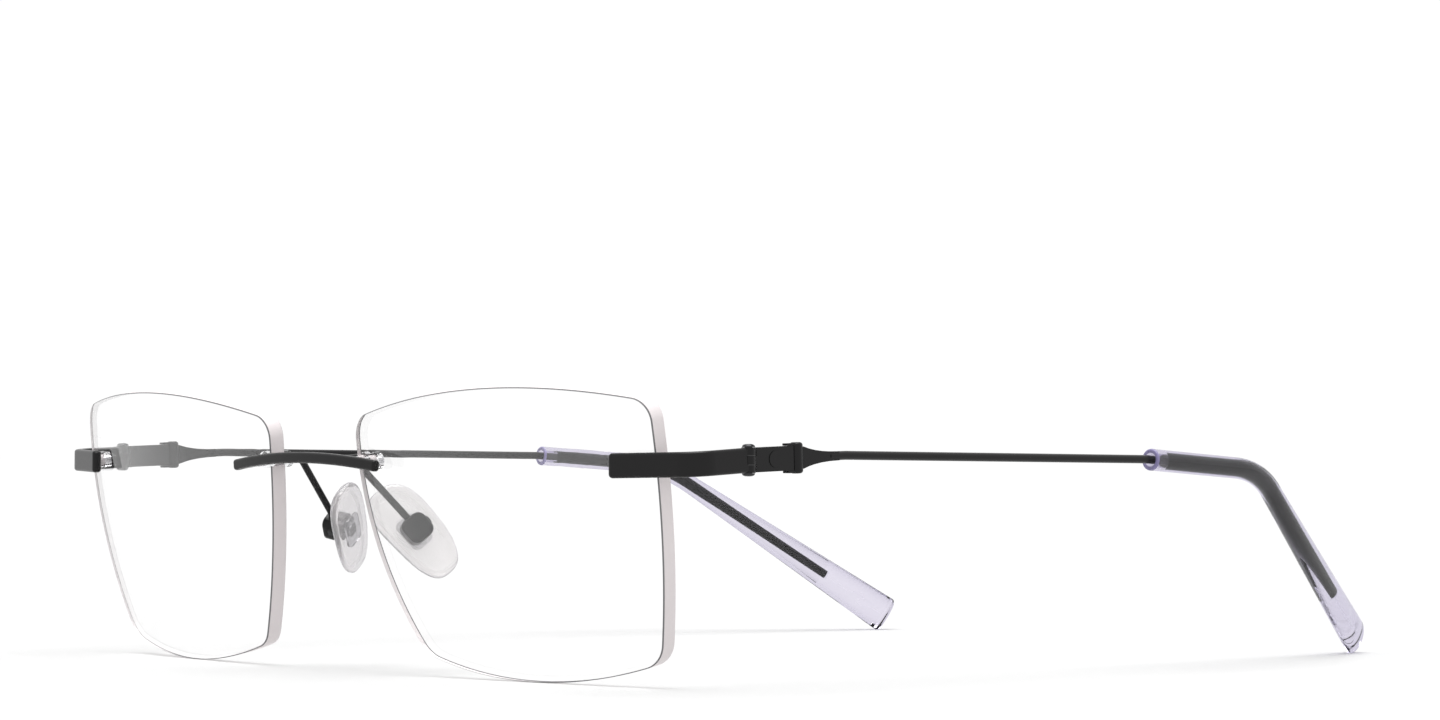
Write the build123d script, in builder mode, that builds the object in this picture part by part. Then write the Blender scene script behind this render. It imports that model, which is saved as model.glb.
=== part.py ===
"""Rimless eyeglasses with compression-mounted lenses, folding temples and rocking nose pads.

Frame: +X is the wearer's left, +Y points back along the temples and +Z is up. The origin is the
middle of the glasses' footprint, on the surface that the lower lens edges and temple tips rest on.
The left pieces are modelled, and each right piece is the mirror image of its left one.
"""
import os
from math import asin, cos, radians, sin, sqrt, tan

from build123d import *

os.makedirs("parts", exist_ok=True)

# Driving dimensions, in millimetres and radians ---------------------------------------------------
# Lenses: curved plastic of even thickness, drilled and notched at both ends
lens_wrap = radians(5.7)  # each lens faces outwards by this much
lens_tilt = radians(11.3)  # the lower edge lies nearer the cheek
lens_radius = 130.0  # radius of the front surface
lens_thickness = 2.2
lens_blank_depth = 14.0  # deep enough for the whole curve of a lens
lens_centre_x = 36.0
lens_centre_y = -73.4
lens_top = 18.95  # the outline's highest and lowest points, from the lens centre
lens_bottom = -19.6
nasal_top = (-26.1, 14.6)  # corners of the outline before rounding
temporal_top = (28.5, 16.6)
temporal_bottom = (25.1, -16.85)
nasal_bottom = (-17.05, -16.7)
top_middle = (2.0, lens_top)  # and a point in the middle of each bowed side
temporal_middle = (28.7, 0.0)
bottom_middle = (4.15, lens_bottom)
nasal_middle = (-24.5, 0.2)
lens_top_rounding = 3.5
lens_bottom_rounding = 4.4

# Compression mounts: one stud in a hole, its twin in a notch in the lens edge
nasal_mount = (-24.7, 9.0)  # middle of the two studs, from the lens centre
temporal_mount = (26.7, 8.8)
stud_spacing = 2.8
stud_radius = 0.45
stud_root = 0.75  # how far a stud runs into the strip in front of the lens
sleeve_radius = 0.75  # bushing sleeve around each stud
cap_radius = 1.15
cap_height = 0.75
cap_waist = 1.84  # width of the cap between its two round ends
notch_length = 3.0
fit_gap = 0.03  # radial gap of pieces that are fitted together

# Bridge: an arched bar in front of both lenses
bridge_middle = Vector(0.0, -77.2, 28.8)
bridge_half_length = 16.3
bridge_height = 1.5
bridge_depth = 1.2
bridge_arch = 1.1  # how far the ends lie below the middle, and behind it
bridge_bow = 0.9
bar_edge = 0.42  # rounding along bars and strips
bar_end_edge = 0.4

# Hinges: an upright axis, two endpiece knuckles around one temple knuckle
hinge = Vector(70.75, -58.9, 28.7)
knuckle_radius = 0.9
knuckle_half_height = 1.6
inner_knuckle_half_height = 0.5
washer_thickness = 0.1
washer_gap = 0.03
pin_radius = 0.5
running_gap = 0.05
fold_room = 0.15  # round the knuckles, for the other leaf
screw_head_radius = 0.84
screw_dome = 0.4
screw_slot = (0.25, 0.18)  # width and depth

# Endpieces: strips that run out along the lens front and bend back to the hinge
strip_thickness = 1.3
strip_height = 3.15
strip_lens_gap = 0.3
strip_end_edge = 0.62
strip_inner_reach = 4.0  # from the temporal mount to the strip's inner end
strip_bend_radius = 3.35
strip_rise = radians(3.3)  # the strips climb a little towards the hinge

# Temples: stamped leaf, clasp with horns, arm drawn down to a wire, sleeve over the bend
temple_lean = radians(2.54)  # the temples close in towards the ears
leaf_rise = radians(2.0)  # and climb a little up to where the wire starts
leaf_thickness = 1.0
leaf_height = 3.1
leaf_end = 7.35  # distances along a temple count from its hinge axis
mark_place = 4.15  # round mark pressed out of the leaf's outer face
mark_radius = 1.05
mark_height = 0.08
clasp_end = 9.1
clasp_height = 3.95
clasp_radius = 0.85
clasp_rounding = 0.4
horn_length = 1.9
horn_thickness = 0.3
horn_rounding = 0.12
horn_gap = 0.03
taper_end = 15.4
taper_height = 2.8
taper_overlap = 0.5  # how far the taper runs into the clasp
wire_overlap = 1.5  # and the wire into the taper
wire_radius = 0.575
kink = 74.4  # the temple starts to fall and close in here, just before its sleeve
sleeve_start = 0.8  # from the kink
bend_vertex = Vector(65.36, 40.13, 27.13)  # where the sleeve's two straight runs would meet
bend_radius = 18.0
drop_angle = radians(32.42)  # how steeply the tip falls
toe_in = radians(21.4)  # how far the tip turns inwards from straight back
wire_drop = 33.5  # from the bend vertex to the wire's end
wire_end_gap = 0.3
tip_radius = 1.5
tip_mouth_radius = 0.95
tip_mouth_depth = 2.6
paddle_width = 5.9
paddle_rounding = 0.7  # round the flat end face
tube_past_bend = 1.0

# Nose pads: silicone ovals over hard cores that rock in small open boxes
pad_centre = Vector(8.0, -63.15, 18.95)
pad_up = Vector(-0.439, -0.493, 0.751)  # long axis: the tops close in towards each other
pad_skin = Vector(-0.872, 0.435, -0.224)  # the way the skin side faces
pad_half_length = 7.3
pad_thickness = 1.7
pad_rounding = 0.7
pad_outline = [  # round the oval from its top, which is a little wider than its foot
    (pad_half_length, 0.0),
    (5.7, 3.17),
    (0.0, 3.92),
    (-5.7, 2.73),
    (-pad_half_length, 0.0),
    (-5.7, -2.51),
    (0.0, -3.38),
    (5.7, -2.95),
]
core_flange = (4.6, 3.2, 0.6)
core_flange_corner = 0.8
core_tab = (1.7, 1.5)
core_tab_corner = 0.3
box_size = 3.6
box_corner = 1.1
box_wall = 0.45
box_edge = 0.3
box_back = -3.4  # heights across a pad count from its middle plane, towards the skin
box_mouth = -1.5
pad_pivot = -2.15
tab_below_pivot = 0.5
pad_screw_radius = 0.4
pad_screw_head = (0.65, 0.25)  # radius and height
arm_radius = 0.47
arm_root = Vector(6.7, -76.6, 28.5)  # in the back of the bridge bar
arm_corner = Vector(7.1, -72.2, 28.9)
arm_bend = 1.5
arm_foot_depth = 0.1  # how far the arm reaches into the box
cut_length = 3.0  # half the length of cutters that run right through small pieces
cut_margin = 1.0  # how far other cutters stand out of what they cut


def save(piece, name):
    """Name a finished piece and write it to its STEP file."""
    piece.label = name
    export_step(piece, f"parts/{name}.step")


def save_pair(piece, name):
    """Write a left piece and its mirror image."""
    save(piece, "left_" + name)
    save(mirror(piece, about=Plane.YZ), "right_" + name)


def sagitta(distance):
    """Depth of the lens front behind its middle, at a distance from the middle."""
    return lens_radius - sqrt(lens_radius**2 - distance**2)


def section_plane(path):
    """Plane across the start of a path, with x as near to upright as it can be."""
    along = path % 0
    upright = (Vector(0, 0, 1) - along * along.Z).normalized()
    return Plane(origin=path @ 0, x_dir=upright, z_dir=along)


# Lens plane: x towards the temple, y up the lens, z out of its front
lens_centre_z = -lens_bottom * cos(lens_tilt) - sagitta(lens_bottom) * sin(lens_tilt)
lens_plane = Plane(
    origin=(lens_centre_x, lens_centre_y, lens_centre_z),
    x_dir=(cos(lens_wrap), sin(lens_wrap), 0),
    z_dir=(sin(lens_wrap) * cos(lens_tilt), -cos(lens_wrap) * cos(lens_tilt), -sin(lens_tilt)),
)


def mount_plane(across, up):
    """Plane that touches the lens front at a mount, with x level and z out of the lens."""
    depth = sagitta(sqrt(across**2 + up**2))
    touch = lens_plane.from_local_coords(Vector(across, up, -depth))
    ball_centre = lens_plane.from_local_coords(Vector(0, 0, -lens_radius))
    outward = (touch - ball_centre).normalized()
    level = Vector(0, 0, 1).cross(outward).normalized()
    return Plane(origin=touch, x_dir=level, z_dir=outward)


nasal_plane = mount_plane(*nasal_mount)
temporal_plane = mount_plane(*temporal_mount)
stud_places = [(-stud_spacing / 2, 0), (stud_spacing / 2, 0)]


# Lenses ------------------------------------------------------------------------------------------
def make_mount_cutter(plane, edge_side):
    """A mount's two stud holes, with the one nearer the lens edge opened into a notch."""
    edge_stud = edge_side * stud_spacing / 2
    with BuildPart() as cutter:
        with BuildSketch(plane.offset(cut_margin)):
            with Locations(*stud_places):
                Circle(sleeve_radius + fit_gap)
            with Locations((edge_stud + edge_side * notch_length / 2, 0)):
                Rectangle(notch_length, 2 * (sleeve_radius + fit_gap))
        extrude(amount=-(lens_thickness + 2 * cut_margin))
    return cutter.part


with BuildPart() as lens_ball:
    with Locations(lens_plane.offset(-lens_radius)):
        Sphere(lens_radius, rotation=(90, 0, 0))
        Sphere(lens_radius - lens_thickness, rotation=(90, 0, 0), mode=Mode.SUBTRACT)

with BuildPart() as lens:
    with BuildSketch(lens_plane.offset(cut_margin)) as lens_outline:
        with BuildLine():
            ThreePointArc(nasal_top, top_middle, temporal_top)
            ThreePointArc(temporal_top, temporal_middle, temporal_bottom)
            ThreePointArc(temporal_bottom, bottom_middle, nasal_bottom)
            ThreePointArc(nasal_bottom, nasal_middle, nasal_top)
        make_face()
        fillet(lens_outline.vertices().sort_by(Axis.Y)[2:], lens_top_rounding)
        fillet(lens_outline.vertices().sort_by(Axis.Y)[:2], lens_bottom_rounding)
    extrude(amount=-lens_blank_depth)
    add(lens_ball.part, mode=Mode.INTERSECT)
    add(make_mount_cutter(nasal_plane, -1), mode=Mode.SUBTRACT)
    add(make_mount_cutter(temporal_plane, 1), mode=Mode.SUBTRACT)
save_pair(lens.part, "lens")


# Compression mounts ------------------------------------------------------------------------------
def make_studs(plane):
    """Two studs that run from inside the strip to the back of the bushing's cap."""
    with BuildPart() as studs:
        with BuildSketch(plane.offset(strip_lens_gap + stud_root)):
            with Locations(*stud_places):
                Circle(stud_radius)
        extrude(amount=-(strip_lens_gap + stud_root + lens_thickness + cap_height + 2 * fit_gap))
    return studs.part


def make_bushing(plane):
    """Clear twin sleeve with a joined cap behind the lens, bored for the studs."""
    with BuildPart() as bushing:
        with BuildSketch(plane.offset(-fit_gap)):
            with Locations(*stud_places):
                Circle(sleeve_radius)
        extrude(amount=-lens_thickness)
        with BuildSketch(plane.offset(-lens_thickness - fit_gap)):
            with Locations(*stud_places):
                Circle(cap_radius)
            Rectangle(stud_spacing, cap_waist)
        extrude(amount=-cap_height)
        with BuildSketch(plane.offset(cut_margin)):
            with Locations(*stud_places):
                Circle(stud_radius + fit_gap)
        bore_length = lens_thickness + cap_height + 2 * cut_margin
        extrude(amount=-bore_length, mode=Mode.SUBTRACT)
    return bushing.part


bridge_studs = make_studs(nasal_plane)
endpiece_studs = make_studs(temporal_plane)
save_pair(bridge_studs, "bridge_studs")
save_pair(endpiece_studs, "endpiece_studs")
save_pair(make_bushing(nasal_plane), "bridge_bushing")
save_pair(make_bushing(temporal_plane), "endpiece_bushing")


def make_stud_drill(plane):
    """Cutter for the two blind holes that the studs are brazed into."""
    with BuildPart() as drill:
        with BuildSketch(plane.offset(strip_lens_gap + stud_root)):
            with Locations(*stud_places):
                Circle(stud_radius + fit_gap)
        extrude(amount=-(stud_root + cut_margin))
    return drill.part


bridge_drill = make_stud_drill(nasal_plane)
endpiece_drill = make_stud_drill(temporal_plane)


# Bridge ------------------------------------------------------------------------------------------
with BuildPart() as bridge_bar:
    bar_end_y = bridge_middle.Y + bridge_bow
    bar_end_z = bridge_middle.Z - bridge_arch
    with BuildLine() as bar_path:
        ThreePointArc(
            (-bridge_half_length, bar_end_y, bar_end_z),
            bridge_middle,
            (bridge_half_length, bar_end_y, bar_end_z),
        )
    with BuildSketch(section_plane(bar_path.line)):
        RectangleRounded(bridge_height, bridge_depth, bar_edge)
    sweep()
    bar_ends = bridge_bar.faces().sort_by(Axis.X)
    fillet(bar_ends[0].edges() + bar_ends[-1].edges(), bar_end_edge)
    add(bridge_drill, mode=Mode.SUBTRACT)
    add(mirror(bridge_drill, about=Plane.YZ, mode=Mode.PRIVATE), mode=Mode.SUBTRACT)
save(bridge_bar.part, "bridge_bar")

# Endpieces ---------------------------------------------------------------------------------------
# The strip's middle line lies in a plane through the hinge that climbs backwards a little.
strip_plane = Plane(origin=hinge, x_dir=(1, 0, 0), z_dir=(0, -sin(strip_rise), cos(strip_rise)))
front_way = Vector(temporal_plane.x_dir.X, temporal_plane.x_dir.Y)
front_normal = Vector(front_way.Y, -front_way.X)
mount_point = Vector(temporal_plane.origin.X - hinge.X, temporal_plane.origin.Y - hinge.Y)
front_point = mount_point + front_normal * (strip_lens_gap + strip_thickness / 2)
side_way = Vector(sin(temple_lean), -cos(temple_lean))
corner_distance = front_point.cross(front_way).Z / side_way.cross(front_way).Z
strip_corner = side_way * corner_distance
strip_inner_end = front_point - front_way * strip_inner_reach

with BuildPart() as endpiece:
    with BuildLine(strip_plane) as strip_path:
        FilletPolyline(
            (strip_inner_end.X, strip_inner_end.Y),
            (strip_corner.X, strip_corner.Y),
            (0, 0),
            radius=strip_bend_radius,
        )
    with BuildSketch(section_plane(strip_path.line)):
        RectangleRounded(strip_height, strip_thickness, bar_edge)
    sweep()
    fillet(endpiece.faces().sort_by(Axis.X)[0].edges(), strip_end_edge)
    with BuildSketch(Plane.XY.offset(hinge.Z - knuckle_half_height)):
        with Locations((hinge.X, hinge.Y)):
            Circle(knuckle_radius)
    extrude(amount=2 * knuckle_half_height)
    gap_half_height = inner_knuckle_half_height + washer_gap + washer_thickness
    with BuildSketch(Plane.XY.offset(hinge.Z - gap_half_height)):
        with Locations((hinge.X, hinge.Y)):
            Circle(knuckle_radius + fold_room)
    extrude(amount=2 * gap_half_height, mode=Mode.SUBTRACT)
    with BuildSketch(Plane.XY.offset(hinge.Z)):
        with Locations((hinge.X, hinge.Y)):
            Circle(pin_radius + fit_gap)
    extrude(amount=cut_length, both=True, mode=Mode.SUBTRACT)
    add(endpiece_drill, mode=Mode.SUBTRACT)
save_pair(endpiece.part, "endpiece")

# Hinge screw: slotted domed head, plain pin, domed foot
with BuildPart() as hinge_screw:
    shoulder = knuckle_half_height + fit_gap
    crown = shoulder + screw_dome
    with BuildSketch(Plane(origin=hinge, x_dir=(1, 0, 0), z_dir=(0, -1, 0))):
        with BuildLine():
            Line((0, -crown), (0, crown))
            Spline((0, crown), (screw_head_radius, shoulder), tangents=[(1, 0), (0.1, -1)])
            Polyline(
                (screw_head_radius, shoulder),
                (pin_radius, shoulder),
                (pin_radius, -shoulder),
                (screw_head_radius, -shoulder),
            )
            Spline((screw_head_radius, -shoulder), (0, -crown), tangents=[(-0.1, -1), (-1, 0)])
        make_face()
    revolve(axis=Axis(hinge, (0, 0, 1)))
    with BuildSketch(Plane.XY.offset(hinge.Z + crown)):
        with Locations((hinge.X, hinge.Y)):
            Rectangle(3 * screw_head_radius, screw_slot[0])
    extrude(amount=-screw_slot[1], mode=Mode.SUBTRACT)
save_pair(hinge_screw.part, "hinge_screw")

with BuildPart() as hinge_washers:
    for face_z in (inner_knuckle_half_height + washer_gap, -gap_half_height):
        with BuildSketch(Plane.XY.offset(hinge.Z + face_z)):
            with Locations((hinge.X, hinge.Y)):
                Circle(knuckle_radius)
                Circle(pin_radius + fit_gap, mode=Mode.SUBTRACT)
        extrude(amount=washer_thickness)
save_pair(hinge_washers.part, "hinge_washers")

# Temples -----------------------------------------------------------------------------------------
# Side plane of a temple: x back along it, y up, z outwards, from the hinge axis.
temple_way = Vector(-sin(temple_lean), cos(temple_lean), 0)
temple_out = Vector(cos(temple_lean), sin(temple_lean), 0)
leaf_way = temple_way * cos(leaf_rise) + Vector(0, 0, sin(leaf_rise))
temple_side = Plane(origin=hinge, x_dir=leaf_way, z_dir=temple_out)

with BuildPart() as hinge_leaf:
    with BuildSketch(temple_side.offset(-leaf_thickness / 2)):
        with Locations((leaf_end / 2, 0)):
            Rectangle(leaf_end, leaf_height)
    extrude(amount=leaf_thickness)
    for zone in (-1, 1):
        start = hinge.Z + zone * inner_knuckle_half_height
        with BuildSketch(Plane.XY.offset(start)):
            with Locations((hinge.X, hinge.Y)):
                Circle(knuckle_radius + fold_room)
        extrude(amount=zone * cut_length, mode=Mode.SUBTRACT)
    with BuildSketch(Plane.XY.offset(hinge.Z - inner_knuckle_half_height)):
        with Locations((hinge.X, hinge.Y)):
            Circle(knuckle_radius)
    extrude(amount=2 * inner_knuckle_half_height)
    with BuildSketch(Plane.XY.offset(hinge.Z)):
        with Locations((hinge.X, hinge.Y)):
            Circle(pin_radius + running_gap)
    extrude(amount=cut_length, both=True, mode=Mode.SUBTRACT)
    with BuildSketch(temple_side.offset(leaf_thickness / 2)):
        with Locations((mark_place, 0)):
            Circle(mark_radius)
    extrude(amount=mark_height)
save_pair(hinge_leaf.part, "hinge_leaf")

# Path of the wire: straight back, a slight kink, round the bend, then down and inwards
drop_way = Vector(
    -sin(toe_in) * cos(drop_angle),
    cos(toe_in) * cos(drop_angle),
    -sin(drop_angle),
)
kink_point = hinge + temple_way * kink
sleeve_way = (bend_vertex - kink_point).normalized()
sleeve_mouth = kink_point + sleeve_way * sleeve_start
bend_tangent = bend_radius * tan(asin(drop_way.cross(sleeve_way).length) / 2)
tube_end = bend_tangent + tube_past_bend  # the round tube ends this far beyond the vertex


def temple_path(points, drop):
    """Middle line through the given points, round the bend and a length down the drop."""
    return FilletPolyline(*points, bend_vertex, bend_vertex + drop_way * drop, radius=bend_radius)


clasp_middle = hinge + leaf_way * (clasp_end - clasp_radius)
with BuildPart() as clasp:
    with BuildSketch(Plane(origin=clasp_middle, x_dir=leaf_way, z_dir=temple_side.y_dir)):
        Circle(clasp_radius)
    extrude(amount=clasp_height / 2, both=True)
    fillet(clasp.edges().filter_by(GeomType.CIRCLE), clasp_rounding)

with BuildPart() as temple_arm:
    with BuildLine():
        wire_start = hinge + leaf_way * (taper_end - wire_overlap)
        wire_root = hinge + leaf_way * (taper_end + wire_overlap)
        wire_line = temple_path([wire_start, wire_root, kink_point], wire_drop)
    with BuildSketch(section_plane(wire_line)):
        Circle(wire_radius)
    sweep()
    with BuildSketch(temple_side.offset(-leaf_thickness / 2)):
        with BuildLine():
            half = taper_height / 2
            taper_root = clasp_end - taper_overlap
            Line((taper_root, -half), (taper_root, half))
            Line((taper_root, half), (clasp_end, half))
            Spline((clasp_end, half), (taper_end, wire_radius), tangents=[(1, -0.35), (1, 0)])
            Line((taper_end, wire_radius), (taper_end, -wire_radius))
            Spline((taper_end, -wire_radius), (clasp_end, -half), tangents=[(-1, 0), (-1, -0.35)])
            Line((clasp_end, -half), (taper_root, -half))
        make_face()
    extrude(amount=leaf_thickness)
    add(clasp.part)
    horn_middle = clasp_end - clasp_radius - horn_length / 2
    horn_z = leaf_height / 2 + horn_gap + horn_thickness / 2
    with BuildSketch(temple_side.offset(-leaf_thickness / 2)):
        with Locations((horn_middle, horn_z), (horn_middle, -horn_z)):
            RectangleRounded(horn_length, horn_thickness, horn_rounding)
    extrude(amount=leaf_thickness)
save_pair(temple_arm.part, "temple_arm")

# Temple tip: a tube over the bend that widens into a flat paddle
corner_drop = (paddle_width / 2 - paddle_rounding) * cos(drop_angle)
corner_drop += paddle_rounding * (1 - sin(drop_angle))
tip_drop = (bend_vertex.Z - corner_drop) / sin(drop_angle)
paddle_up = (Vector(0, 0, 1) - drop_way * drop_way.Z).normalized()
paddle_start = Plane(origin=bend_vertex + drop_way * tube_end, x_dir=paddle_up, z_dir=drop_way)

with BuildPart() as temple_tip:
    with BuildLine():
        tube_line = temple_path([sleeve_mouth], tube_end)
    with BuildSketch(section_plane(tube_line)):
        Circle(tip_radius)
    sweep()
    with BuildSketch(paddle_start):
        Circle(tip_radius)
    with BuildSketch(paddle_start.offset(tip_drop - tube_end)):
        Ellipse(paddle_width / 2, tip_radius)
    loft()
    fillet(temple_tip.faces().sort_by(Axis.Z)[0].edges(), paddle_rounding)
    with BuildLine():
        bore_line = temple_path([sleeve_mouth], wire_drop + wire_end_gap)
    with BuildSketch(section_plane(bore_line)):
        Circle(wire_radius + fit_gap)
    sweep(mode=Mode.SUBTRACT)
    with BuildSketch(section_plane(tube_line)):
        Circle(tip_mouth_radius)
    extrude(amount=tip_mouth_depth, mode=Mode.SUBTRACT)
save_pair(temple_tip.part, "temple_tip")

# Nose pads ---------------------------------------------------------------------------------------
# Pad plane: x up the pad's long axis, z towards the skin, origin in the middle of the silicone
pad_plane = Plane(origin=pad_centre, x_dir=pad_up, z_dir=pad_skin)
pivot_plane = Plane(
    origin=pad_plane.from_local_coords(Vector(0, 0, pad_pivot)),
    x_dir=pad_plane.x_dir,
    z_dir=pad_plane.y_dir,
)
tab_end = pad_pivot - tab_below_pivot

with BuildPart() as pad_core:
    with BuildSketch(pad_plane.offset(-core_flange[2] / 2)):
        RectangleRounded(core_flange[0], core_flange[1], core_flange_corner)
    extrude(amount=core_flange[2])
    with BuildSketch(pad_plane.offset(tab_end)):
        RectangleRounded(core_tab[0], core_tab[1], core_tab_corner)
    extrude(amount=-tab_end)
    with BuildSketch(pivot_plane):
        Circle(pad_screw_radius + running_gap)
    extrude(amount=cut_length, both=True, mode=Mode.SUBTRACT)
save_pair(pad_core.part, "pad_core")

with BuildPart() as nose_pad:
    with BuildSketch(pad_plane.offset(-pad_thickness / 2)):
        with BuildLine():
            Spline(*pad_outline, periodic=True)
        make_face()
    extrude(amount=pad_thickness)
    fillet(nose_pad.edges(), pad_rounding)
    with BuildSketch(pad_plane.offset(-core_flange[2] / 2)):
        RectangleRounded(core_flange[0], core_flange[1], core_flange_corner)
    extrude(amount=core_flange[2], mode=Mode.SUBTRACT)
    with BuildSketch(pad_plane.offset(-pad_thickness)):
        RectangleRounded(core_tab[0], core_tab[1], core_tab_corner)
    extrude(amount=pad_thickness, mode=Mode.SUBTRACT)
save_pair(nose_pad.part, "nose_pad")

box_inside = box_size - 2 * box_wall
with BuildPart() as pad_box:
    with BuildSketch(pad_plane.offset(box_back)):
        RectangleRounded(box_size, box_size, box_corner)
    extrude(amount=box_mouth - box_back)
    fillet(pad_box.faces().sort_by(Axis(pad_centre, pad_plane.z_dir))[0].edges(), box_edge)
    with BuildSketch(pad_plane.offset(box_back + box_wall)):
        RectangleRounded(box_inside, box_inside, box_corner - box_wall)
    extrude(amount=cut_length, mode=Mode.SUBTRACT)
    with BuildSketch(pivot_plane):
        Circle(pad_screw_radius + fit_gap)
    extrude(amount=cut_length, both=True, mode=Mode.SUBTRACT)
save_pair(pad_box.part, "pad_box")

with BuildPart() as pad_screw:
    with BuildSketch(pivot_plane.offset(-box_size / 2)):
        Circle(pad_screw_radius)
    extrude(amount=box_size + fit_gap)
    with BuildSketch(pivot_plane.offset(box_size / 2 + fit_gap)):
        Circle(pad_screw_head[0])
    extrude(amount=pad_screw_head[1])
save_pair(pad_screw.part, "pad_screw")

# Pad arm: a wire from the back of the bridge, straight back and then down to the top of the box
box_middle = (box_back + box_mouth) / 2
arm_foot = pad_plane.from_local_coords(Vector(box_size / 2 - arm_foot_depth, 0, box_middle))
with BuildPart() as pad_arm:
    with BuildLine():
        arm_line = FilletPolyline(arm_root, arm_corner, arm_foot, radius=arm_bend)
    with BuildSketch(section_plane(arm_line)):
        Circle(arm_radius)
    sweep()
    add(bridge_bar.part, mode=Mode.SUBTRACT)
    add(pad_box.part, mode=Mode.SUBTRACT)
save_pair(pad_arm.part, "pad_arm")
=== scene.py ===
"""Rimless eyeglasses: materials, own meshes for the clear pieces, light and camera."""

from math import acos, atan2, copysign, cos, exp, pi, radians, sin, sqrt, tan

import bpy
from mathutils import Matrix, Vector


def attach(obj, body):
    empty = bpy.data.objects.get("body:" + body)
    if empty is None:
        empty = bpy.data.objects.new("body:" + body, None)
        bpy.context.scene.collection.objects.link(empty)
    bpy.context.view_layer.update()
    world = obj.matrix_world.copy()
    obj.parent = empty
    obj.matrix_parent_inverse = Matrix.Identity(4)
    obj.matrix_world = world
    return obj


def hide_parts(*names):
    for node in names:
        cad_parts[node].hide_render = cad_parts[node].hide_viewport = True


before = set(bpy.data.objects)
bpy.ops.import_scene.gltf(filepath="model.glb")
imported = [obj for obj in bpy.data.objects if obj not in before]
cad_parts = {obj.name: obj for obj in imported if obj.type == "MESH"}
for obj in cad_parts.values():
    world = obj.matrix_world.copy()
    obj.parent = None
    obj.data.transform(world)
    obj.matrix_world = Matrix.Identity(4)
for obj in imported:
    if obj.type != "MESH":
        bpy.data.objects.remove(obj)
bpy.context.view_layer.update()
MM = 0.001

# Shape of the replaced pieces, in millimetres and radians as in the CAD ---------------------------
lens_wrap = radians(5.7)
lens_tilt = radians(11.3)
lens_radius = 130.0
lens_thickness = 2.2
lens_centre = Vector((36.0, -73.4))
lens_top = 18.95
lens_bottom = -19.6
nasal_top = Vector((-26.1, 14.6))
temporal_top = Vector((28.5, 16.6))
temporal_bottom = Vector((25.1, -16.85))
nasal_bottom = Vector((-17.05, -16.7))
top_middle = Vector((2.0, lens_top))
temporal_middle = Vector((28.7, 0.0))
bottom_middle = Vector((4.15, lens_bottom))
nasal_middle = Vector((-24.5, 0.2))
top_rounding = 3.5
bottom_rounding = 4.4
edge_bevel = 0.14
nasal_mount = (-24.7, 9.0)
temporal_mount = (26.7, 8.8)
stud_spacing = 2.8
hole_radius = 0.78
notch_length = 3.0
cutter_overshoot = 1.0  # how far a hole cutter stands clear of the lens faces

hinge = Vector((70.75, -58.9, 28.7))
temple_lean = radians(2.54)
kink = 74.4
sleeve_start = 0.8
bend_vertex = Vector((65.36, 40.13, 27.13))
bend_radius = 18.0
drop_angle = radians(32.42)
toe_in = radians(21.4)
wire_drop = 33.5
wire_end_gap = 0.3
bore_radius = 0.605
bore_hub_radius = 0.3  # small ring that keeps the bore's end flat
tip_radius = 1.5
tip_mouth_radius = 0.95
tip_mouth_depth = 2.6
tip_mouth_rounding = 0.28
paddle_width = 5.9
paddle_rounding = 0.7
tube_past_bend = 1.0
dent_from_end = 5.5  # shallow oval dent in a paddle's outer face
dent_half_length = 1.3
dent_half_width = 0.8
dent_depth = 0.35

pad_centre = Vector((8.0, -63.15, 18.95))
pad_up = Vector((-0.439, -0.493, 0.751)).normalized()
pad_skin = Vector((-0.872, 0.435, -0.224))
pad_half_length = 7.28
pad_half_width = 3.63
pad_fullness = 0.722  # below 1 the oval is fuller than an ellipse
pad_flare = 0.1  # the top is wider than the foot
pad_swell = 0.27  # how far the middle bows to one side
pad_thickness = 1.7
# Section of a pad as (inset from its outline, height): over the back face, at the side from the
# middle plane, and under the skin face.
pad_back_profile = [
    (3.5, 0.28), (3.0, 0.28), (2.2, 0.26), (1.5, 0.2), (1.15, 0.06),
    (0.85, 0.01), (0.55, 0.03), (0.28, 0.16), (0.1, 0.38), (0.01, 0.7),
]
pad_side_profile = [(0.01, 0.0), (0.06, 0.3)]
pad_skin_profile = [
    (0.22, 0.4), (0.5, 0.24), (0.95, 0.14), (1.6, 0.07), (2.4, 0.02), (3.2, 0.0), (3.6, 0.0),
]

# Fineness of the new meshes: lengths in millimetres, then counts ---------------------------------
corner_step = 0.2
side_step = 0.45
bore_step = 0.6
paddle_step = 0.5
ring_gap = 0.1  # from an edge to the first ring beside it
wall_steps = 5
rounding_steps = 8
hole_segments = 48
tube_segments = 56
pad_segments = 72
# Places of the rings between a lens's middle and its bevel, closer together towards the edge
lens_shares = [0.06, 0.2, 0.34, 0.48, 0.6, 0.7, 0.79, 0.86, 0.92, 0.96, 0.985, 0.997, 1.0]
sharp_angle = radians(35)

# Values shared by the materials ------------------------------------------------------------------
noise_detail = 4.0
rim_shade_blend = 0.35  # how far the painted rim shade of clear plastic reaches in from the silhouette
lacquer_colour = (0.006, 0.0057, 0.006)
lacquer_ior = 1.3
lacquer_roughness = (0.24, 0.36)
nylon_colour = (0.02, 0.02, 0.021)
nylon_roughness = 0.45

# Floor, light and camera, in millimetres, radians and Blender's units of light -------------------
floor_half_size = 6000.0
floor_grey = 0.5
world_strength = 1.02
lamp_angle = radians(50)
lamp_energy = 3.3
camera_place = Vector((482.06, -414.58, 30.954))
camera_yaw, camera_pitch, camera_roll = 0.864353887, -0.018756921, 0.00149267
camera_lens, camera_sensor = 109.2955, 36.0
camera_near, camera_far = 0.01, 50.0  # metres


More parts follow.
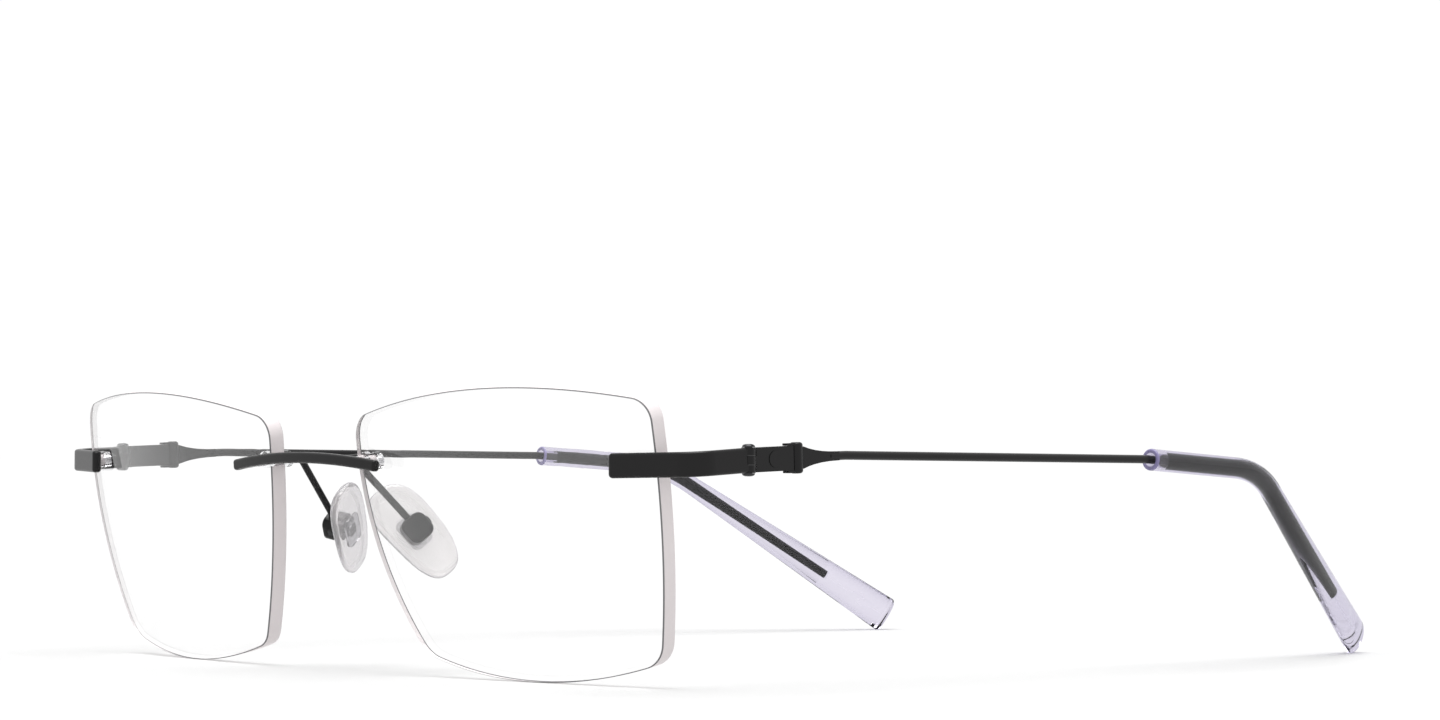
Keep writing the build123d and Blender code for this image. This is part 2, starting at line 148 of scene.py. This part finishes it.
# Mesh helpers ------------------------------------------------------------------------------------
def new_piece(name, vertices, faces, materials, indices=None, sharp=sharp_angle):
    """Object from vertices in millimetres, smooth except where faces meet at more than sharp."""
    mesh = bpy.data.meshes.new(name)
    mesh.from_pydata([Vector(v) * MM for v in vertices], [], faces)
    for material in materials:
        mesh.materials.append(material)
    if indices:
        mesh.polygons.foreach_set("material_index", indices)
    mesh.polygons.foreach_set("use_smooth", [True] * len(mesh.polygons))
    mesh.set_sharp_from_angle(angle=sharp)
    mesh.validate()
    piece = bpy.data.objects.new(name, mesh)
    bpy.context.scene.collection.objects.link(piece)
    return piece


def join_rings(rings):
    """Vertices and faces of a closed skin over rings of equal length, with the ends filled."""
    count = len(rings[0])
    vertices = [point for ring in rings for point in ring]
    faces = []
    for row in range(len(rings) - 1):
        for i in range(count):
            j = (i + 1) % count
            low, high = row * count, (row + 1) * count
            faces.append((low + i, low + j, high + j, high + i))
    for ring_index, flip in ((0, True), (len(rings) - 1, False)):
        ring = rings[ring_index]
        vertices.append(sum((Vector(p) for p in ring), Vector()) / count)
        hub = len(vertices) - 1
        for i in range(count):
            j = (i + 1) % count
            a, b = ring_index * count + i, ring_index * count + j
            faces.append((hub, b, a) if flip else (hub, a, b))
    return vertices, faces


def mirror_points(vertices, faces, side):
    """The same skin on the wearer's right when side is -1, with its faces turned to match."""
    if side > 0:
        return vertices, faces
    return [Vector((-v[0], v[1], v[2])) for v in vertices], [tuple(reversed(f)) for f in faces]


# Materials ---------------------------------------------------------------------------------------
def new_material(name):
    """Material with its Principled shader and its node tree."""
    material = bpy.data.materials.new(name)
    material.use_nodes = True
    shader = material.node_tree.nodes["Principled BSDF"]
    return material, shader, material.node_tree


def add_bump(tree, shader, scale, distance, strength=0.5):
    """Fine uneven surface from noise in object coordinates; distance is its height in metres."""
    place = tree.nodes.new("ShaderNodeTexCoord")
    noise = tree.nodes.new("ShaderNodeTexNoise")
    noise.inputs["Scale"].default_value = scale
    noise.inputs["Detail"].default_value = noise_detail
    bump = tree.nodes.new("ShaderNodeBump")
    bump.inputs["Strength"].default_value = strength
    bump.inputs["Distance"].default_value = distance
    tree.links.new(place.outputs["Object"], noise.inputs["Vector"])
    tree.links.new(noise.outputs["Fac"], bump.inputs["Height"])
    tree.links.new(bump.outputs["Normal"], shader.inputs["Normal"])
    return noise


def let_lamps_through(tree, shader, tint):
    """Shadow rays pass the clear plastic as through tinted glass."""
    path = tree.nodes.new("ShaderNodeLightPath")
    clear = tree.nodes.new("ShaderNodeBsdfTransparent")
    clear.inputs["Color"].default_value = (*tint, 1)
    mix = tree.nodes.new("ShaderNodeMixShader")
    output = tree.nodes["Material Output"]
    tree.links.new(path.outputs["Is Shadow Ray"], mix.inputs["Fac"])
    tree.links.new(shader.outputs["BSDF"], mix.inputs[1])
    tree.links.new(clear.outputs["BSDF"], mix.inputs[2])
    tree.links.new(mix.outputs["Shader"], output.inputs["Surface"])


def clear_plastic(name, colour, rim, roughness, ior, lamp_tint, clearness=1.0):
    """Clear plastic in one colour face on and darker, in the rim colour, where it is seen at a
    slant: painted shade for the dark outline of clear plastic, partly the tint's longer path
    through it.
    """
    material, shader, tree = new_material(name)
    shader.inputs["Transmission Weight"].default_value = clearness
    shader.inputs["Roughness"].default_value = roughness
    shader.inputs["IOR"].default_value = ior
    # Painted shade: the base colour turns to the rim colour where the surface is seen at a slant
    weight = tree.nodes.new("ShaderNodeLayerWeight")
    weight.inputs["Blend"].default_value = rim_shade_blend
    mix = tree.nodes.new("ShaderNodeMix")
    mix.data_type = "RGBA"
    mix.inputs["A"].default_value = (*colour, 1)
    mix.inputs["B"].default_value = (*rim, 1)
    tree.links.new(weight.outputs["Facing"], mix.inputs["Factor"])
    tree.links.new(mix.outputs["Result"], shader.inputs["Base Color"])
    let_lamps_through(tree, shader, lamp_tint)
    return material


def satin_plastic(name, colour, transmission, roughness, lamp_tint):
    """Ground plastic surface that scatters light, a little translucent."""
    material, shader, tree = new_material(name)
    shader.inputs["Base Color"].default_value = (*colour, 1)
    shader.inputs["Transmission Weight"].default_value = transmission
    shader.inputs["Roughness"].default_value = roughness
    add_bump(tree, shader, scale=1500.0, distance=1e-5, strength=0.2)
    let_lamps_through(tree, shader, lamp_tint)
    return material


def black_lacquer():
    """Black paint whose gloss is a little uneven."""
    material, shader, tree = new_material("black_lacquer")
    shader.inputs["Base Color"].default_value = (*lacquer_colour, 1)
    shader.inputs["IOR"].default_value = lacquer_ior
    noise = add_bump(tree, shader, scale=3000.0, distance=2e-6, strength=0.25)
    ramp = tree.nodes.new("ShaderNodeMapRange")
    ramp.inputs["To Min"].default_value = lacquer_roughness[0]
    ramp.inputs["To Max"].default_value = lacquer_roughness[1]
    tree.links.new(noise.outputs["Fac"], ramp.inputs["Value"])
    tree.links.new(ramp.outputs["Result"], shader.inputs["Roughness"])
    return material


def plain_metal(name, colour, roughness):
    """Bare metal with a very fine grain."""
    material, shader, tree = new_material(name)
    shader.inputs["Base Color"].default_value = (*colour, 1)
    shader.inputs["Metallic"].default_value = 1.0
    shader.inputs["Roughness"].default_value = roughness
    add_bump(tree, shader, scale=6000.0, distance=3e-6)
    return material


def nylon():
    """Dark, slightly dull nylon of the hinge washers."""
    material, shader, tree = new_material("washer_nylon")
    shader.inputs["Base Color"].default_value = (*nylon_colour, 1)
    shader.inputs["Roughness"].default_value = nylon_roughness
    add_bump(tree, shader, scale=5000.0, distance=4e-6)
    return material


lacquer = black_lacquer()
stud_steel = plain_metal("stud_steel", colour=(0.62, 0.62, 0.63), roughness=0.22)
screw_steel = plain_metal("screw_steel", colour=(0.05, 0.05, 0.052), roughness=0.3)
washer_nylon = nylon()
lens_face = clear_plastic(
    "lens_face",
    colour=(1, 1, 1),
    rim=(0.99, 0.985, 0.99),
    roughness=0.0,
    ior=1.5,
    lamp_tint=(0.95, 0.95, 0.95),
)
lens_wall = satin_plastic(
    "lens_wall",
    colour=(0.7, 0.65, 0.655),
    transmission=0.1,
    roughness=0.5,
    lamp_tint=(0.6, 0.6, 0.6),
)
# The bevel's near-black colour is painted shade: a dark band for the thin outline a polished clear
# lens edge shows
lens_bevel = satin_plastic(
    "lens_bevel",
    colour=(0.14, 0.14, 0.145),
    transmission=0.0,
    roughness=0.4,
    lamp_tint=(0.5, 0.5, 0.5),
)
bushing_clear = clear_plastic(
    "bushing_clear",
    colour=(0.97, 0.97, 0.98),
    rim=(0.75, 0.75, 0.77),
    roughness=0.03,
    ior=1.5,
    lamp_tint=(0.8, 0.8, 0.8),
)
tip_clear = clear_plastic(
    "tip_clear",
    colour=(0.76, 0.73, 0.83),
    rim=(0.2, 0.17, 0.36),
    roughness=0.02,
    ior=1.49,
    lamp_tint=(0.1, 0.1, 0.14),
)
tip_bore = clear_plastic(
    "tip_bore",
    colour=(0.9, 0.9, 0.92),
    rim=(0.9, 0.9, 0.92),
    roughness=0.0,
    ior=1.0,
    lamp_tint=(0.9, 0.9, 0.9),
)
tip_lip = satin_plastic(
    "tip_lip",
    colour=(0.25, 0.22, 0.42),
    transmission=0.3,
    roughness=0.4,
    lamp_tint=(0.6, 0.58, 0.66),
)
pad_silicone = clear_plastic(
    "pad_silicone",
    colour=(0.86, 0.84, 0.84),
    rim=(0.6, 0.59, 0.63),
    roughness=0.03,
    ior=1.41,
    lamp_tint=(0.5, 0.5, 0.5),
    clearness=0.75,
)
core_clear = clear_plastic(
    "core_clear",
    colour=(0.6, 0.6, 0.62),
    rim=(0.35, 0.35, 0.37),
    roughness=0.05,
    ior=1.53,
    lamp_tint=(0.7, 0.7, 0.7),
)

node_materials = {
    "bridge_bar": lacquer,
    "endpiece": lacquer,
    "hinge_leaf": lacquer,
    "temple_arm": lacquer,
    "pad_arm": lacquer,
    "pad_box": lacquer,
    "hinge_screw": screw_steel,
    "pad_screw": screw_steel,
    "bridge_studs": stud_steel,
    "endpiece_studs": stud_steel,
    "bridge_bushing": bushing_clear,
    "endpiece_bushing": bushing_clear,
    "hinge_washers": washer_nylon,
    "pad_core": core_clear,
}
for node_name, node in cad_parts.items():
    base = node_name.replace("left_", "").replace("right_", "")
    if base in node_materials:
        node.data.materials.clear()
        node.data.materials.append(node_materials[base])


# Lenses ------------------------------------------------------------------------------------------
def circle_through(a, b, c):
    """Centre and radius of the circle through three points."""
    d = 2 * (a.x * (b.y - c.y) + b.x * (c.y - a.y) + c.x * (a.y - b.y))
    squares = [p.length_squared for p in (a, b, c)]
    x = (squares[0] * (b.y - c.y) + squares[1] * (c.y - a.y) + squares[2] * (a.y - b.y)) / d
    y = (squares[0] * (c.x - b.x) + squares[1] * (a.x - c.x) + squares[2] * (b.x - a.x)) / d
    centre = Vector((x, y))
    return centre, (a - centre).length


def circles_meet(c1, r1, c2, r2, near):
    """The point where two circles meet, nearest to a given point."""
    between = c2 - c1
    d = between.length
    along = (r1**2 - r2**2 + d**2) / (2 * d)
    height = sqrt(max(0.0, r1**2 - along**2))
    foot = c1 + between * (along / d)
    side = Vector((-between.y, between.x)) * (height / d)
    return min((foot + side, foot - side), key=lambda p: (p - near).length)


def arc_points(centre, start, end, step):
    """Points from start to just before end, the short way round a centre."""
    a = atan2(start.y - centre.y, start.x - centre.x)
    b = atan2(end.y - centre.y, end.x - centre.x)
    turn = (b - a + pi) % (2 * pi) - pi
    radius = (start - centre).length
    count = max(2, round(abs(turn) * radius / step))
    angles = [a + turn * i / count for i in range(count)]
    return [(centre + Vector((cos(t), sin(t))) * radius, Vector((cos(t), sin(t)))) for t in angles]


def lens_outline():
    """Points and outward directions round the lens outline, in the lens plane."""
    corners = [nasal_top, temporal_top, temporal_bottom, nasal_bottom]
    middles = [top_middle, temporal_middle, bottom_middle, nasal_middle]
    roundings = [top_rounding, top_rounding, bottom_rounding, bottom_rounding]
    sides = [circle_through(corners[i], middles[i], corners[(i + 1) % 4]) for i in range(4)]
    fillets = []
    for i in range(4):
        (c1, r1), (c2, r2) = sides[i - 1], sides[i]
        r = roundings[i]
        centre = circles_meet(c1, r1 - r, c2, r2 - r, corners[i])
        ends = [c + (centre - c).normalized() * big for c, big in ((c1, r1), (c2, r2))]
        fillets.append((centre, ends))
    points = []
    for i in range(4):
        centre, ends = fillets[i]
        points += arc_points(centre, ends[0], ends[1], corner_step)
        points += arc_points(sides[i][0], ends[1], fillets[(i + 1) % 4][1][0], side_step)
    return points


def sagitta(radius, distance):
    """Depth of a sphere's surface below its pole at a distance from the axis."""
    return radius - sqrt(radius**2 - distance**2)


# This height of the lens centre puts the bottom of the lens front on the floor
lens_centre_z = -lens_bottom * cos(lens_tilt) - sagitta(lens_radius, lens_bottom) * sin(lens_tilt)
lens_x = Vector((cos(lens_wrap), sin(lens_wrap), 0))
lens_z = Vector(
    (sin(lens_wrap) * cos(lens_tilt), -cos(lens_wrap) * cos(lens_tilt), -sin(lens_tilt))
)
lens_y = lens_z.cross(lens_x)
lens_origin = Vector((lens_centre.x, lens_centre.y, lens_centre_z))


def from_lens(x, y, z):
    """Point of the frame at a place in the lens's own axes."""
    return lens_origin + lens_x * x + lens_y * y + lens_z * z


def front_z(p):
    return -sagitta(lens_radius, p.length)


def back_z(p):
    return -lens_thickness - sagitta(lens_radius - lens_thickness, p.length)


FACE, WALL, BEVEL = 0, 1, 2  # places in a lens's list of materials


def lens_skin():
    """Closed skin of a lens: crowned front, bevel, edge wall, bevel, hollow back."""
    outline = lens_outline()
    rings, kinds = [], []
    inner = [p - n * edge_bevel for p, n in outline]
    for s in lens_shares:
        rings.append([from_lens(q.x * s, q.y * s, front_z(q * s)) for q in inner])
        kinds.append(FACE)
    kinds[-1] = BEVEL
    for k in range(wall_steps + 1):
        t = k / wall_steps
        ring = []
        for p, n in outline:
            z = (front_z(p) - edge_bevel) * (1 - t) + (back_z(p) + edge_bevel) * t
            ring.append(from_lens(p.x, p.y, z))
        rings.append(ring)
        kinds.append(WALL)
    kinds[-1] = BEVEL
    for s in reversed(lens_shares):
        rings.append([from_lens(q.x * s, q.y * s, back_z(q * s)) for q in inner])
        kinds.append(FACE)
    vertices, faces = join_rings(rings)
    count = len(outline)
    indices = [kinds[i // count] for i in range((len(rings) - 1) * count)] + [FACE] * (2 * count)
    return vertices, faces, indices


def mount_axes(mount):
    """Touch point on the lens front, level direction and outward direction of a mount."""
    across, up = mount
    depth = sagitta(lens_radius, sqrt(across**2 + up**2))
    touch = from_lens(across, up, -depth)
    outward = (touch - from_lens(0, 0, -lens_radius)).normalized()
    level = Vector((0, 0, 1)).cross(outward).normalized()
    return touch, level, outward


def mount_cutter(mount, edge_side):
    """Two prisms: a round stud hole, and a slot that opens the other hole to the lens edge."""
    touch, level, outward = mount_axes(mount)
    upright = outward.cross(level)
    hole, slot = [], []
    for i in range(hole_segments):
        t = 2 * pi * i / hole_segments
        u, v = hole_radius * cos(t), hole_radius * sin(t)
        reach = notch_length if cos(t) * edge_side > 0 else 0.0
        hole.append((-edge_side * stud_spacing / 2 + u, v))
        slot.append((edge_side * (stud_spacing / 2 + reach) + u, v))
    vertices, faces = [], []
    for shape in (hole, slot):
        rings = [
            [touch + level * u + upright * v + outward * h for u, v in shape]
            for h in (cutter_overshoot, -cutter_overshoot - lens_thickness)
        ]
        more_vertices, more_faces = join_rings(rings)
        start = len(vertices)
        vertices += more_vertices
        faces += [tuple(i + start for i in reversed(f)) for f in more_faces]
    return vertices, faces


def cut_away(piece, cutter):
    """Subtracts the cutter's mesh from the piece's, and removes the cutter."""
    cut = piece.modifiers.new("cut", "BOOLEAN")
    cut.operation = "DIFFERENCE"
    cut.solver = "EXACT"
    cut.object = cutter
    bpy.context.view_layer.update()
    graph = bpy.context.evaluated_depsgraph_get()
    mesh = bpy.data.meshes.new_from_object(piece.evaluated_get(graph))
    piece.modifiers.remove(cut)
    piece.data = mesh
    bpy.data.objects.remove(cutter)
    mesh.set_sharp_from_angle(angle=sharp_angle)


def make_lens(side, name):
    vertices, faces, indices = lens_skin()
    vertices, faces = mirror_points(vertices, faces, side)
    looks = [lens_face, lens_wall, lens_bevel]
    lens = new_piece(name + "_lens_clear", vertices, faces, looks, indices)
    for mount, edge_side in ((nasal_mount, -1), (temporal_mount, 1)):
        cut_vertices, cut_faces = mirror_points(*mount_cutter(mount, edge_side), side)
        walls = [WALL] * len(cut_faces)
        cutter = new_piece("cutter", cut_vertices, cut_faces, [lens_face, lens_wall], walls)
        cut_away(lens, cutter)
    lens.data.name = lens.name
    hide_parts(name + "_lens")
    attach(lens, "front")


make_lens(1, "left")
make_lens(-1, "right")


# Temple tips -------------------------------------------------------------------------------------
temple_way = Vector((-sin(temple_lean), cos(temple_lean), 0))
drop_way = Vector((-sin(toe_in) * cos(drop_angle), cos(toe_in) * cos(drop_angle), -sin(drop_angle)))
kink_point = hinge + temple_way * kink
sleeve_way = (bend_vertex - kink_point).normalized()
mouth = kink_point + sleeve_way * sleeve_start
bend_turn = acos(sleeve_way.dot(drop_way))
bend_tangent = bend_radius * tan(bend_turn / 2)
bend_length = bend_radius * bend_turn
bend_begin = (bend_vertex - mouth).length - bend_tangent
# The paddle is long enough for its lower corner to stand on the floor
tip_drop = (
    bend_vertex.z
    - (paddle_width / 2 - paddle_rounding) * cos(drop_angle)
    - paddle_rounding * (1 - sin(drop_angle))
) / sin(drop_angle)
drop_begin = bend_begin + bend_length
tip_length = drop_begin + tip_drop - bend_tangent


def tip_point(distance):
    """Middle point and direction at a distance along the sleeve from its mouth."""
    if distance < bend_begin:
        return mouth + sleeve_way * distance, sleeve_way
    if distance > drop_begin:
        beyond = distance - drop_begin + bend_tangent
        return bend_vertex + drop_way * beyond, drop_way
    turn = (distance - bend_begin) / bend_radius
    inward = (drop_way - sleeve_way * sleeve_way.dot(drop_way)).normalized()
    along = bend_begin + bend_radius * sin(turn)
    point = mouth + sleeve_way * along + inward * (bend_radius * (1 - cos(turn)))
    return point, sleeve_way * cos(turn) + inward * sin(turn)


def tube_ring(distance, tall, wide, dented=False):
    """Oval ring across the sleeve; tall and wide are half sizes, dented adds the paddle's dent."""
    point, way = tip_point(distance)
    up = (Vector((0, 0, 1)) - way * way.z).normalized()
    out = way.cross(up)
    along = (distance - tip_length + dent_from_end) / dent_half_length
    ring = []
    for i in range(tube_segments):
        t = 2 * pi * i / tube_segments
        reach = wide * sin(t)
        if dented and sin(t) > 0:
            across = tall * cos(t) / dent_half_width
            reach -= dent_depth * exp(-(along**2) - across**2)
        ring.append(point + up * (tall * cos(t)) + out * reach)
    return ring


def spaced(start, end, step):
    """Even distances from start to end, about a step apart."""
    count = max(1, round(abs(end - start) / step))
    return [start + (end - start) * i / count for i in range(count + 1)]


BODY, BORE, LIP = 0, 1, 2  # places in a tip's list of materials


def tip_skin():
    """Closed skin of a tip: wire bore, mouth, rounded lip, tube, bend, paddle, rounded end."""
    wire_end = drop_begin + wire_drop - bend_tangent + wire_end_gap
    rings = [tube_ring(wire_end, r, r) for r in (bore_hub_radius, bore_radius)]
    for d in spaced(wire_end - ring_gap, tip_mouth_depth, bore_step):
        rings.append(tube_ring(d, bore_radius, bore_radius))
    kinds = [BORE] * len(rings)
    for d in spaced(tip_mouth_depth, ring_gap, bore_step):
        rings.append(tube_ring(d, tip_mouth_radius, tip_mouth_radius))
        kinds.append(BODY)
    kinds[-1] = LIP
    for k in range(1, rounding_steps + 1):
        turn = pi / 2 * k / rounding_steps
        r = tip_radius - tip_mouth_rounding * (1 - sin(turn))
        rings.append(tube_ring(tip_mouth_rounding * (1 - cos(turn)), r, r))
        kinds.append(LIP)
    kinds[-1] = BODY
    paddle_begin = drop_begin + tube_past_bend
    grow = paddle_width / 2 - tip_radius
    body_begin = tip_mouth_rounding + 2 * ring_gap
    for d in spaced(body_begin, tip_length - paddle_rounding, paddle_step):
        share = max(0.0, (d - paddle_begin) / (tip_length - paddle_begin))
        rings.append(tube_ring(d, tip_radius + grow * share, tip_radius, dented=True))
    for k in range(1, rounding_steps + 1):
        turn = pi / 2 * k / rounding_steps
        inset = paddle_rounding * (1 - cos(turn))
        d = tip_length - paddle_rounding * (1 - sin(turn))
        rings.append(tube_ring(d, paddle_width / 2 - inset, tip_radius - inset))
    kinds += [BODY] * (len(rings) - 1 - len(kinds))
    vertices, faces = join_rings(rings)
    count = len(rings[0])
    indices = [kinds[i // count] for i in range(count * (len(rings) - 1))]
    return vertices, faces, indices + [BORE] * count + [BODY] * count


def make_tip(side, name):
    vertices, faces, indices = tip_skin()
    vertices, faces = mirror_points(vertices, faces, side)
    looks = [tip_clear, tip_bore, tip_lip]
    tip = new_piece(name + "_tip_clear", vertices, faces, looks, indices, sharp=radians(50))
    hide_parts(name + "_temple_tip")
    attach(tip, name + "_temple")


make_tip(1, "left")
make_tip(-1, "right")


# Nose pads ---------------------------------------------------------------------------------------
pad_z = (pad_skin - pad_up * pad_skin.dot(pad_up)).normalized()
pad_y = pad_z.cross(pad_up)


def pad_ring(shrink, height):
    """Full oval ring in the pad's plane, shrink millimetres inside its outline."""
    ring = []
    for i in range(pad_segments):
        t = 2 * pi * (i + 0.5) / pad_segments
        along = copysign(abs(cos(t)) ** pad_fullness, cos(t))
        across = copysign(abs(sin(t)) ** pad_fullness, sin(t))
        x = (pad_half_length - shrink) * along
        y = (pad_half_width - shrink) * across * (1 + pad_flare * along)
        y += pad_swell * (1 - along**2)
        ring.append(pad_centre + pad_up * x + pad_y * y + pad_z * height)
    return ring


def pad_skin_mesh():
    """Closed skin of a pad: back with a rim, rounded side, crowned skin side."""
    half = pad_thickness / 2
    profile = [(inset, -half + rise) for inset, rise in pad_back_profile]
    profile += pad_side_profile
    profile += [(inset, half - drop) for inset, drop in pad_skin_profile]
    return join_rings([pad_ring(shrink, height) for shrink, height in profile])


def make_pad(side, name):
    vertices, faces = mirror_points(*pad_skin_mesh(), side)
    pad = new_piece(name + "_pad_silicone", vertices, faces, [pad_silicone], sharp=radians(60))
    smooth = pad.modifiers.new("smooth", "SUBSURF")
    smooth.levels = smooth.render_levels = 1
    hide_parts(name + "_nose_pad")
    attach(pad, name + "_pad")


make_pad(1, "left")
make_pad(-1, "right")


# Floor, light and camera -------------------------------------------------------------------------
def make_floor():
    """Wide matt floor, part of the stage and not of the object."""
    size = floor_half_size
    mesh = bpy.data.meshes.new("floor")
    corners = [(-size, -size, 0), (size, -size, 0), (size, size, 0), (-size, size, 0)]
    mesh.from_pydata([Vector(c) * MM for c in corners], [], [(0, 1, 2, 3)])
    material, shader, _ = new_material("floor_white")
    shader.inputs["Base Color"].default_value = (floor_grey, floor_grey, floor_grey, 1)
    shader.inputs["Roughness"].default_value = 1.0
    shader.inputs["Specular IOR Level"].default_value = 0.0
    mesh.materials.append(material)
    floor = bpy.data.objects.new("floor", mesh)
    bpy.context.scene.collection.objects.link(floor)


def make_light():
    """White surroundings and one broad lamp straight overhead."""
    world = bpy.data.worlds.new("studio")
    bpy.context.scene.world = world
    world.use_nodes = True
    background = world.node_tree.nodes["Background"]
    background.inputs["Color"].default_value = (1, 1, 1, 1)
    background.inputs["Strength"].default_value = world_strength
    lamp = bpy.data.objects.new("overhead_lamp", bpy.data.lights.new("overhead_lamp", "SUN"))
    bpy.context.scene.collection.objects.link(lamp)
    lamp.data.angle = lamp_angle
    lamp.data.energy = lamp_energy


def make_camera():
    """Camera at the photograph's angle, low and far off to the wearer's left front."""
    yaw, pitch, roll = camera_yaw, camera_pitch, camera_roll
    forward = Vector((-sin(yaw) * cos(pitch), cos(yaw) * cos(pitch), -sin(pitch)))
    level = Vector((cos(yaw), sin(yaw), 0))
    up = level.cross(forward)
    right = level * cos(roll) + up * sin(roll)
    up = up * cos(roll) - level * sin(roll)
    camera = bpy.data.objects.new("camera", bpy.data.cameras.new("camera"))
    bpy.context.scene.collection.objects.link(camera)
    camera.data.lens = camera_lens
    camera.data.sensor_width = camera_sensor
    camera.data.clip_start = camera_near
    camera.data.clip_end = camera_far
    rows = Matrix((right, up, -forward)).transposed()
    camera.matrix_world = Matrix.Translation(camera_place * MM) @ rows.to_4x4()
    bpy.context.scene.camera = camera


make_floor()
make_light()
make_camera()
bpy.context.scene.view_settings.view_transform = "Standard"
